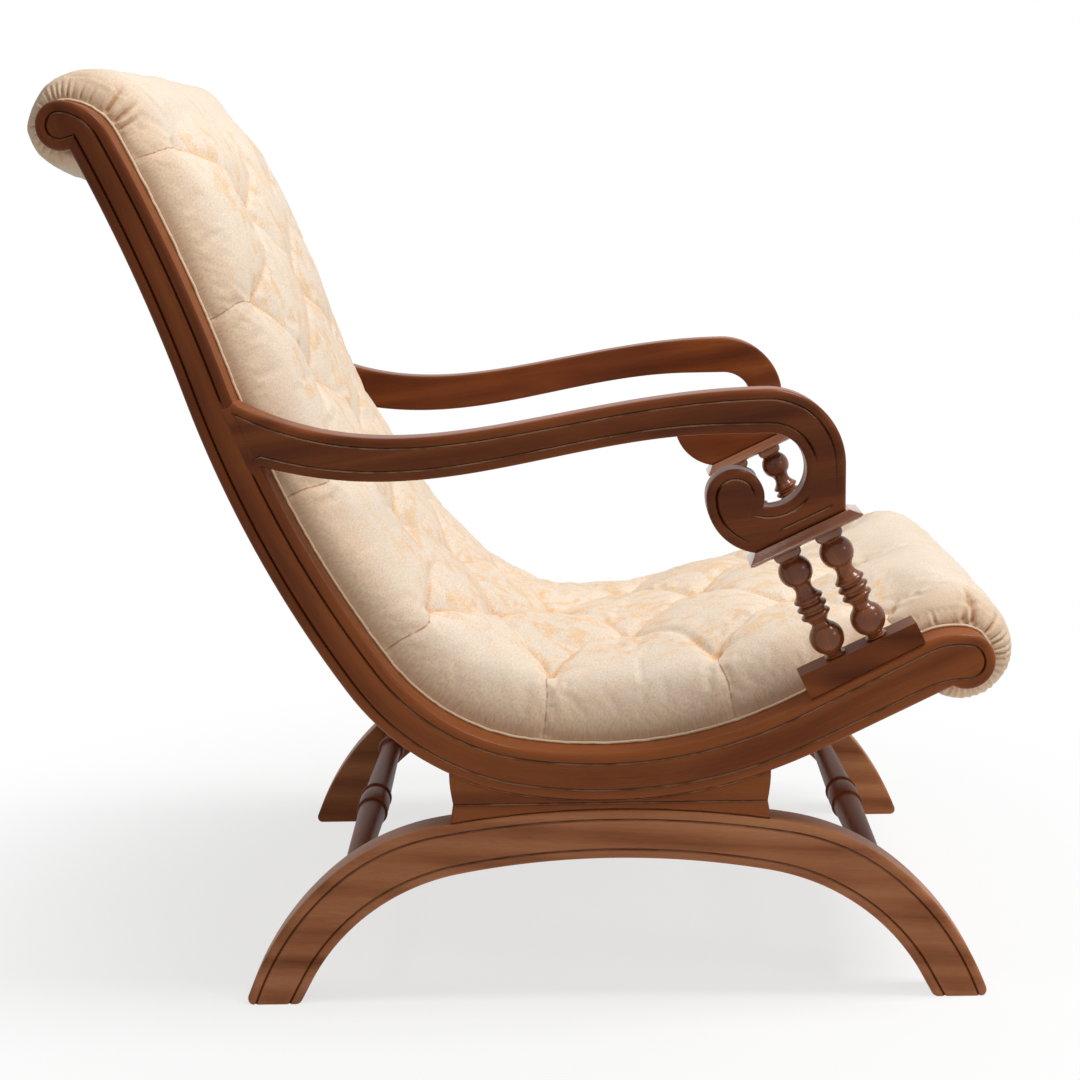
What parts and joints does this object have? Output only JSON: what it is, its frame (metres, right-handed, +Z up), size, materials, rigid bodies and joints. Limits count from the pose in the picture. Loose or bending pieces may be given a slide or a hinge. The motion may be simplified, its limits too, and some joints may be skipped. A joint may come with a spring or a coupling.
{
  "type": "planters chair",
  "caption": "Low lounge chair with scrolled wooden side rails, scroll arms on turned spindles, arched legs tied by turned stretchers, and a deep-tufted seat and back in one sweep.",
  "frame": {"origin": "on the floor, below the middle of the chair", "axes": "+Z up, the sitter faces -Y, +X is the sitter's left"},
  "size_m": [0.64, 1.0142, 0.9825],
  "materials": {
    "polished_wood": "satin brown polish over open grain",
    "turned_wood": "darker satin polish",
    "plain_wood": "unpolished inner wood",
    "damask": "cream damask with a soft sheen",
    "lining": "plain woven lining",
    "webbing": "coarse jute webbing"
  },
  "bodies": {
    "root": {"side_rail_left": "polished_wood", "side_rail_right": "polished_wood", "arm_left": "polished_wood", "arm_right": "polished_wood", "arm_cap_moulding_left": "turned_wood", "arm_cap_moulding_right": "turned_wood", "spindle_base_block_left": "polished_wood", "spindle_base_block_right": "polished_wood", "spindle_front_left": "turned_wood", "spindle_front_right": "turned_wood", "spindle_rear_left": "turned_wood", "spindle_rear_right": "turned_wood", "leg_arch_left": "polished_wood", "leg_arch_right": "polished_wood", "upper_saddle_left": "polished_wood", "upper_saddle_right": "polished_wood", "lower_saddle_left": "polished_wood", "lower_saddle_right": "polished_wood", "leg_dowel_rear_left": "plain_wood", "leg_dowel_rear_right": "plain_wood", "leg_dowel_front_left": "plain_wood", "leg_dowel_front_right": "plain_wood", "stretcher_rear": "turned_wood", "stretcher_front": "turned_wood", "cross_rail_seat_front": "plain_wood", "cross_rail_seat_middle": "plain_wood", "cross_rail_lumbar": "plain_wood", "cross_rail_upper_back": "plain_wood", "head_bar": "plain_wood", "knee_bar": "plain_wood", "webbing_deck": "webbing", "back_cloth": "lining", "tufted_cushion": "damask", "edge_strip_left": "damask", "edge_strip_right": "damask"}
  },
  "joints": []
}
